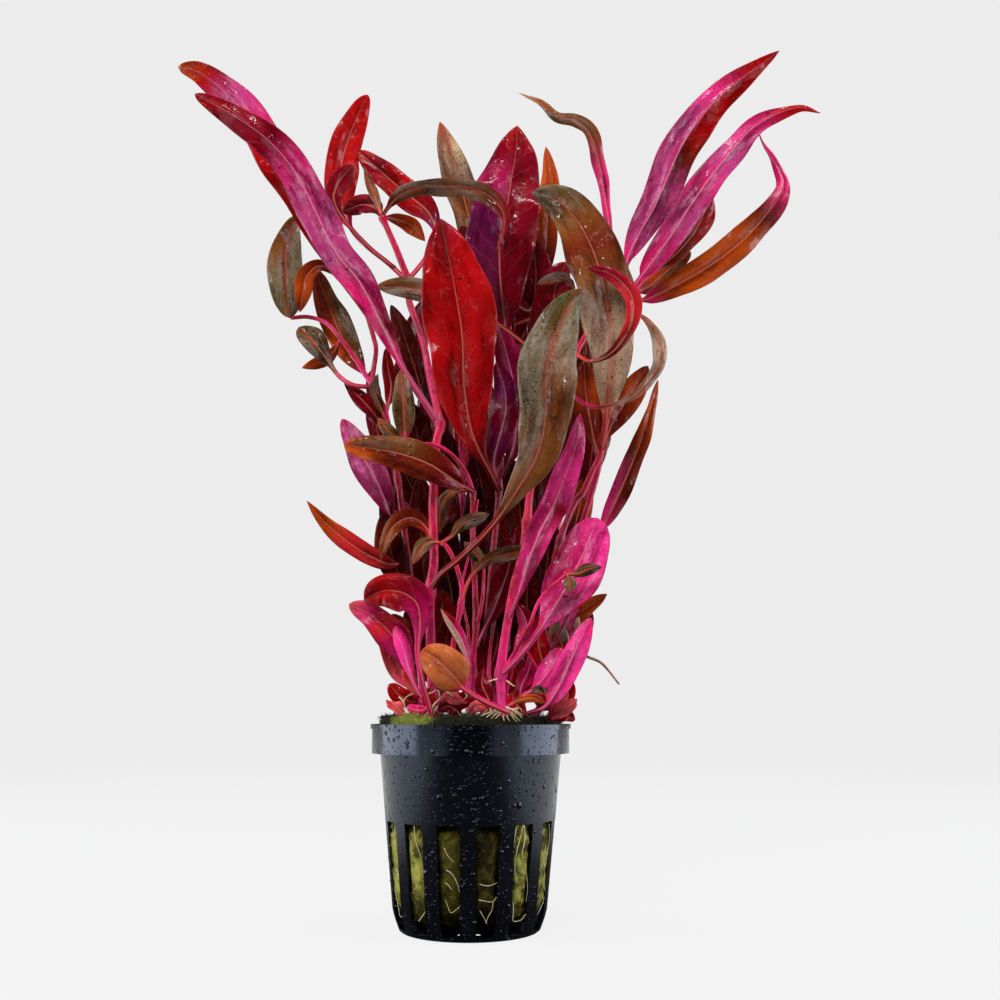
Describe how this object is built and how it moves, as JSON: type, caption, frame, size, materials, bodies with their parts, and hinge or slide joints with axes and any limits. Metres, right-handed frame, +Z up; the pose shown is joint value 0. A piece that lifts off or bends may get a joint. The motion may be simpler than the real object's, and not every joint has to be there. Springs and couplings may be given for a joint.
{
  "type": "potted aquarium plant",
  "caption": "Bushy red, pink and olive aquarium plant with lance-shaped leaves on upright stems, rooted in a wool plug in a round slotted net pot.",
  "frame": {"origin": "centre of the underside of the pot's floor, where it stands", "axes": "+Z up along the pot's axis, -Y towards the side with the broad red and olive leaves, +X to the right of that view"},
  "size_m": [0.1681, 0.0926, 0.2261],
  "materials": {
    "pot_plastic": "satin",
    "plug_wool": "matte",
    "stem_pink": "satin",
    "leaf_mauve": "satin",
    "leaf_pink": "satin",
    "leaf_red": "satin",
    "leaf_crimson": "satin",
    "leaf_maroon": "satin",
    "leaf_olive": "satin",
    "leaf_brown": "satin",
    "leaf_orange": "satin"
  },
  "bodies": {
    "root": {"net_pot": "pot_plastic", "wool_plug": "plug_wool", "stem_left": "stem_pink", "stem_fork": "stem_pink", "stem_salmon": "stem_pink", "stem_centre": "stem_pink", "stem_right": "stem_pink", "stem_arching": "stem_pink", "stem_outer": "stem_pink", "stem_middle": "stem_pink", "leaf_long_mauve": "leaf_mauve", "leaf_pink_left": "leaf_mauve", "leaf_purple_inner": "leaf_mauve", "leaf_purple_low": "leaf_mauve", "leaf_top_right": "leaf_pink", "leaf_right_pink": "leaf_pink", "leaf_pink_slender": "leaf_pink", "leaf_pink_broad": "leaf_pink", "leaf_pink_low": "leaf_pink", "leaf_long_left": "leaf_red", "leaf_upright_red": "leaf_red", "leaf_slanting_red": "leaf_red", "leaf_big_red": "leaf_red", "leaf_curling_red": "leaf_red", "leaf_pointing_left": "leaf_red", "rosette_left": "leaf_red", "rosette_right": "leaf_red", "rosette_middle": "leaf_red", "rosette_back": "leaf_red", "leaf_tall_crimson": "leaf_crimson", "leaf_thin_curled": "leaf_crimson", "leaf_magenta_outer": "leaf_crimson", "leaf_dark_arch": "leaf_crimson", "leaf_curled_left": "leaf_crimson", "shoot_back_left": "leaf_crimson", "shoot_back_middle": "leaf_crimson", "shoot_back_right": "leaf_crimson", "shoot_back_outer": "leaf_crimson", "shoot_rear": "leaf_crimson", "leaf_right_folded": "leaf_maroon", "leaf_behind_dark": "leaf_maroon", "leaf_arching_olive": "leaf_olive", "leaf_brown_upright": "leaf_olive", "leaf_big_olive": "leaf_olive", "leaf_drooping_olive": "leaf_olive", "leaf_hanging_olive": "leaf_olive", "leaf_left_olive": "leaf_olive", "leaf_grey_upright": "leaf_olive", "leaf_ring": "leaf_brown", "leaf_brown_pair": "leaf_brown", "leaf_left_brown": "leaf_brown", "leaf_behind_brown": "leaf_brown", "leaf_crossing_brown": "leaf_brown", "leaf_brown_across": "leaf_brown", "leaf_round_olive": "leaf_brown", "leaf_orange_back": "leaf_orange", "leaf_far_right": "leaf_orange", "leaf_low_orange": "leaf_orange", "leaf_orange_tip": "leaf_orange", "leaf_red_curl": "leaf_orange"}
  },
  "joints": []
}
